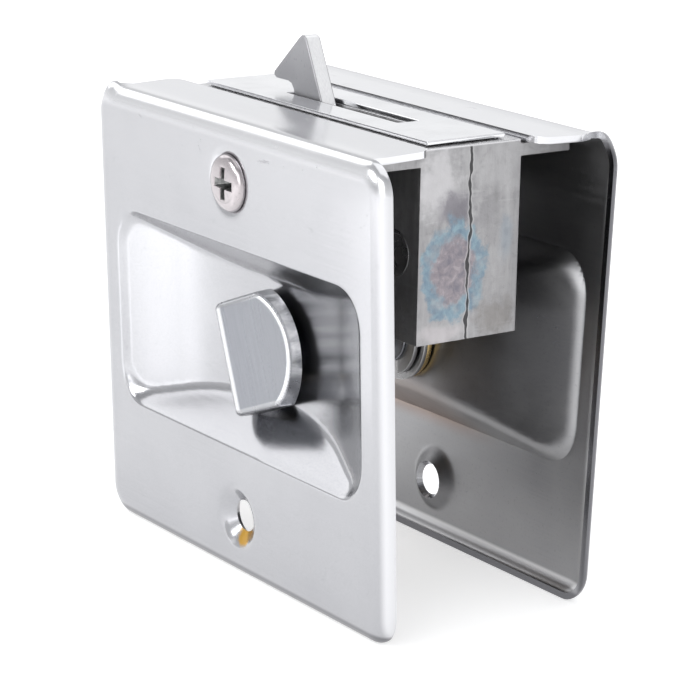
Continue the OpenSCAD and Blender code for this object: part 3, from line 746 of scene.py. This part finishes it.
# ----------------------------------------------------------------- thumb turn
def make_turn():
    """Round knob cut by two chords; a long shallow face and a short steep one meet in a rounded ridge."""
    rc, draft = 1.1, math.tan(math.radians(3))
    vc = TURN_HL - rc
    uc = math.sqrt((TURN_R - rc) ** 2 - vc ** 2)
    t0 = math.atan2(vc, uc)

    def roof(u):
        shallow = TURN_TOP + RIGHT_SLOPE * (u + 2.45)
        steep = TURN_TOP - LEFT_SLOPE * (u + 3.45)
        return smin(smax(shallow, steep, 1.4), TURN_BASE - 0.5 + 0 * u, 0.4)

    pts, nor = [], []

    def arc(c, r, f, t, k):
        for i in range(k):
            g = f + (t - f) * i / k
            pts.append((c[0] + r * math.cos(g), c[1] + r * math.sin(g)))
            nor.append((math.cos(g), math.sin(g)))

    for q, h in ((1, 0.0), (-1, math.pi)):
        arc((0, 0), TURN_R, h - t0, h + t0, 90)
        arc((q * uc, q * vc), rc, h + t0, h + math.pi / 2, 9)
        for i in range(30):
            pts.append((q * uc * (1 - i / 15), q * TURN_HL))
            nor.append((0, q))
        arc((-q * uc, q * vc), rc, h + math.pi / 2, h + math.pi - t0, 9)
    pts, nor = np.array(pts), np.array(nor)
    n = len(pts)
    V, F, L = [], [], []
    rho = 0.38 + 0.5 * sstep(0.7, 1.0, np.abs(nor[:, 1])) * sstep(TURN_HL - 0.9, TURN_HL, np.abs(pts[:, 1]))

    def row(uv, y):
        k = len(V)
        y = np.broadcast_to(y, (n,))
        V.extend(np.stack([uv[:, 0], y, uv[:, 1] * (1 + draft * (y - TURN_TOP) / TURN_HL)], 1))
        return np.arange(k, k + n)

    rings = []
    for t in np.linspace(0, math.pi / 2, 8):
        uv = pts - nor * (rho * (1 - math.sin(t)))[:, None]
        rings.append(row(uv, np.minimum(roof(uv[:, 0]) + rho * (1 - math.cos(t)), TURN_BASE - 0.12 - 0.02 * math.cos(t))))
    edge = np.minimum(roof(pts[:, 0]) + rho, TURN_BASE - 0.12)
    rings += [row(pts, edge + (TURN_BASE - 0.1 - edge) * k / 3) for k in (1, 2, 3)]
    rings.append(row(pts - nor * 0.1, TURN_BASE))
    for a, b in zip(rings, rings[1:]):
        F += [(a[i], b[i], b[(i + 1) % n], a[(i + 1) % n]) for i in range(n)]
    # front, with close rows over the ridge
    flat = [(V[i][0], V[i][2]) for i in rings[0]]
    for u in np.concatenate([np.arange(-8.4, -4.9, 0.5), np.arange(-4.8, -1.6, 0.14), np.arange(-1.4, 8.7, 0.6)]):
        for v in np.arange(-7.2, 7.3, 0.6):
            if math.hypot(u, v) < TURN_R - 0.75 and abs(v) < TURN_HL - 1.2 and (abs(u) < uc or math.hypot(abs(u) - uc, max(abs(v) - vc, 0)) < 0.2 or abs(v) < vc - 0.4):
                flat.append((u, v))
    ov, _, of, vo, _, _ = delaunay_2d_cdt([Vector(q) for q in flat], [(i, (i + 1) % n) for i in range(n)], [], 1, 1e-7, True)
    idx = []
    for k, q in enumerate(ov):
        src = [i for i in vo[k] if i < n]
        if src:
            idx.append(rings[0][src[0]])
        else:
            idx.append(len(V))
            V.append(np.array((q[0], float(roof(q[0])), q[1])))
    for t in of:
        f = [idx[k] for k in t]
        F.append(tuple(f if (ov[t[1]] - ov[t[0]]).cross(ov[t[2]] - ov[t[0]]) > 0 else f[::-1]))
    P = np.array(V)
    N = np.zeros_like(P)
    for f in F:
        q = P[list(f)]
        N[list(f)] += np.cross(q[1] - q[0], q[-1] - q[0]) if len(f) == 3 else np.cross(q[2] - q[0], q[3] - q[1])
    u = P[idx, 0]
    N[idx] = np.stack([(roof(u + 0.01) - roof(u - 0.01)) / 0.02, -np.ones_like(u), 0 * u], 1)
    N /= np.maximum(np.linalg.norm(N, axis=1), 1e-12)[:, None]
    for f in F:
        L += [N[i] for i in f]
    # back of the knob, then the shank with its clip groove
    ang = np.arctan2(pts[:, 1], pts[:, 0])
    y_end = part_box("thumb_turn")[1].y / MM
    prev, pr, py = rings[-1], 9.0, TURN_BASE
    extra = []
    for r, y in ((4, TURN_BASE), (4, y_end - 1.2), (3.3, y_end - 1.2), (3.3, y_end - 0.5), (4, y_end - 0.5),
                 (4, y_end - 0.15), (3.85, y_end), (0.2, y_end)):
        k = len(P) + len(extra)
        extra += [(r * math.cos(g), y, r * math.sin(g)) for g in ang]
        cur = np.arange(k, k + n)
        w = math.hypot(y - py, r - pr)
        for i in range(n):
            j = (i + 1) % n
            F.append((prev[i], cur[i], cur[j], prev[j]))
            for m in (i, i, j, j):
                L.append(((y - py) / w * math.cos(ang[m]), (pr - r) / w, (y - py) / w * math.sin(ang[m])))
        prev, pr, py = cur, r, y
    F.append(tuple(prev[::-1]))
    L += [(0, 1, 0)] * n
    P = np.concatenate([P, np.array(extra)])
    a = math.radians(TURN_DEG)
    ca, sa = math.cos(a), math.sin(a)
    W = np.stack([P[:, 0] * ca + P[:, 2] * sa, P[:, 1], AX_Z - P[:, 0] * sa + P[:, 2] * ca], 1) * MM
    L = np.array(L)
    LW = np.stack([L[:, 0] * ca + L[:, 2] * sa, L[:, 1], -L[:, 0] * sa + L[:, 2] * ca], 1)
    me = mesh_from("thumb_turn_knob", W, [tuple(map(int, f)) for f in F])
    me.polygons.foreach_set("use_smooth", [True] * len(me.polygons))
    me.normals_split_custom_set([tuple(q) for q in LW])
    return stand(new_obj("thumb_turn_knob", me), "thumb_turn", M_TURN)


make_turn()


# -------------------------------------------------------------- plate screws
def make_screw(node, rear):
    crown = 1.05
    prof = [(0, -1.02), (0.8, -1.01), (1.6, -0.97), (2.2, -0.915), (2.7, -0.845), (3.1, -0.745), (3.4, -0.63), (3.62, -0.47),
            (3.78, -0.27), (3.87, -0.05), (3.9, 0.12), (3.86, 0.28), (3.72, 0.40), (2.02, DIMPLE_D - 0.04),
            (2.0, DIMPLE_D + 0.1), (2.0, 9.3), (1.8, 9.5), (0, 9.5)]
    o = lathe_y(node + "_head", prof, 96, 0, 0)
    a = math.radians(2)
    for k in (0, 1):
        ca, sa = math.cos(a + k * math.pi / 2), math.sin(a + k * math.pi / 2)

        def pt(u, y, v):
            return (u * ca + v * sa, y, -u * sa + v * ca)

        v = [pt(u, y, s * t) for y, u, s in ((-crown - 0.6, 2.8, 0.72), (0.9, 1.0, 0.36)) for u, t in
             ((-u, -1), (u, -1), (u, 1), (-u, 1))]
        v = [Vector(p) * MM for p in v]
        f = [(0, 1, 2, 3), (7, 6, 5, 4), (0, 4, 5, 1), (1, 5, 6, 2), (2, 6, 7, 3), (3, 7, 4, 0)]
        c = new_obj("wing", mesh_from("wing", v, f))
        bm = bmesh.new()
        bm.from_mesh(c.data)
        bmesh.ops.recalc_face_normals(bm, faces=bm.faces)
        bm.to_mesh(c.data)
        bm.free()
        boolean(o, c, "DIFFERENCE")
    core = lathe_y("core", [(0, -crown - 0.6), (1.45, -crown - 0.6), (0.8, 0.6), (0, 1.3)], 32, 0, 0)
    boolean(o, core, "DIFFERENCE")
    bevel(o, 0.07, 2, 30)
    co = np.array([v.co for v in o.data.vertices]) / MM
    co[:, 2] += HOLE_Z[1]
    q, _ = place_plate(co, np.zeros_like(co), rear)
    o.data.vertices.foreach_set("co", q.astype(np.float32).ravel())
    o.data.update()
    shade(o, 30)
    return stand(o, node, M_CHROME)


make_screw("front_plate_screw", False)
make_screw("rear_plate_screw", True)

# ------------------------------------------------------- the remaining pieces
for node in ("front_case", "rear_case"):
    stand(from_cad(node, 0.28, 3), node, M_ZINC)
strip = from_cad("face_plate", 0.16, 3)
b0, b1 = (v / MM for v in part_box("face_plate"))
for x0, x1, y0, y1 in ((b0.x - 1, b0.x + 0.6, b0.y - 1, b1.y + 1), (b1.x - 0.6, b1.x + 1, b0.y - 1, b1.y + 1),
                       (b0.x - 1, b1.x + 1, b0.y - 1, b0.y + 0.6), (b0.x - 1, b1.x + 1, b1.y - 0.6, b1.y + 1)):
    # relieved under its rim, so the strip stands off the casting by a dark line
    boolean(strip, prism("relief", [(x0, y0, b0.z - 0.2), (x1, y0, b0.z - 0.2), (x1, y1, b0.z - 0.2), (x0, y1, b0.z - 0.2)],
                         (0, 0, 0.42)), "DIFFERENCE")
stand(flat_true(shade(strip, 40)), "face_plate", M_FACE)
stand(from_cad("hook_bolt", 0.22, 3, 40), "hook_bolt", M_HOOK)
for node in ("front_bush", "rear_bush", "drive_hub"):
    stand(from_cad(node, 0.15), node, M_BRASS)
for node in ("front_washer", "rear_washer", "front_clip", "rear_clip", "detent_spring", "case_rivets",
             "hook_pivot_pin", "hook_link_pin", "link_bar", "crank_pin", "hub_roll_pin", "spindle"):
    stand(from_cad(node, 0.1), node, M_BRIGHT)
stand(from_cad("release_button", 0.2, 3), "release_button", M_TURN)

# ------------------------------------------------------------ floor and light
floor = new_obj("floor", mesh_from("floor", [(-6, -6, 0), (6, -6, 0), (6, 6, 0), (-6, 6, 0)], [(0, 1, 2, 3)]))
fm = Nodes("pale_floor")
floor.data.materials.append(fm.set(
    Base_Color=fm.ramp(fm.noise(fm.mm, 0.01, 2.0), [(0.3, (0.81, 0.81, 0.81)), (0.7, (0.83, 0.83, 0.83))]), Roughness=0.9,
    Emission_Color=(1.0, 1.0, 1.0), Emission_Strength=0.5))       # lit from below, like a light table

world = bpy.data.worlds.new("studio")
bpy.context.scene.world = world
world.use_nodes = True
wt = world.node_tree
wtc = wt.nodes.new("ShaderNodeTexCoord")
wsep = wt.nodes.new("ShaderNodeSeparateXYZ")
wr = wt.nodes.new("ShaderNodeValToRGB")
wt.links.new(wtc.outputs["Generated"], wsep.inputs[0])
wt.links.new(wsep.outputs[2], wr.inputs[0])
wr.color_ramp.elements[0].position, wr.color_ramp.elements[0].color = 0.0, (1.10, 1.105, 1.115, 1)
wr.color_ramp.elements[1].position, wr.color_ramp.elements[1].color = 0.75, (0.60, 0.605, 0.62, 1)
wt.links.new(wr.outputs[0], wt.nodes["Background"].inputs[0])
wt.nodes["Background"].inputs[1].default_value = 1.0


def area(name, loc, aim, size, power, color=(1, 1, 1)):
    d = bpy.data.lights.new(name, "AREA")
    d.shape, d.size, d.size_y = "RECTANGLE", size[0], size[1]
    d.energy, d.color = power, color
    o = bpy.data.objects.new(name, d)
    bpy.context.scene.collection.objects.link(o)
    o.location = loc
    o.rotation_euler = (Vector(aim) - Vector(loc)).to_track_quat("-Z", "Y").to_euler()
    return o


area("top", (0.05, 0.1, 1.1), (0, 0, 0.0), (1.2, 1.2), 3.7)
area("front", (-0.055, -0.235, 0.15), (-0.058, -0.15, 0.0), (0.10, 0.10), 0.30)
area("left", (-0.62, -0.14, 0.50), (0, 0, 0.03), (0.40, 0.55), 0.95)
area("front_right", (0.31, -0.68, 0.26), (0, 0, 0.03), (0.5, 0.5), 1.7)
area("card", (-0.043, -0.072, 0.018), (-0.024, -0.017, 0.032), (0.009, 0.034), 0.0008)

# ------------------------------------------------------------------- camera
cd = bpy.data.cameras.new("camera")
cam = bpy.data.objects.new("camera", cd)
bpy.context.scene.collection.objects.link(cam)
cd.sensor_width, cd.lens, cd.clip_start, cd.clip_end = 36.0, 143.108, 0.01, 50
right = (0.56899176, 0.82212347, 0.01900974)
up = (-0.22422971, 0.13286588, 0.96543653)
fwd = (-0.79118229, 0.55358798, -0.2599441)
cpos = (0.3042743, -0.2118292, 0.1295147)
cam.matrix_world = Matrix([[right[i], up[i], -fwd[i], cpos[i]] for i in range(3)] + [[0, 0, 0, 1]])
bpy.context.scene.camera = cam
vs = bpy.context.scene.view_settings
vs.view_transform, vs.look, vs.exposure, vs.gamma = "Standard", "None", 0.0, 1.0
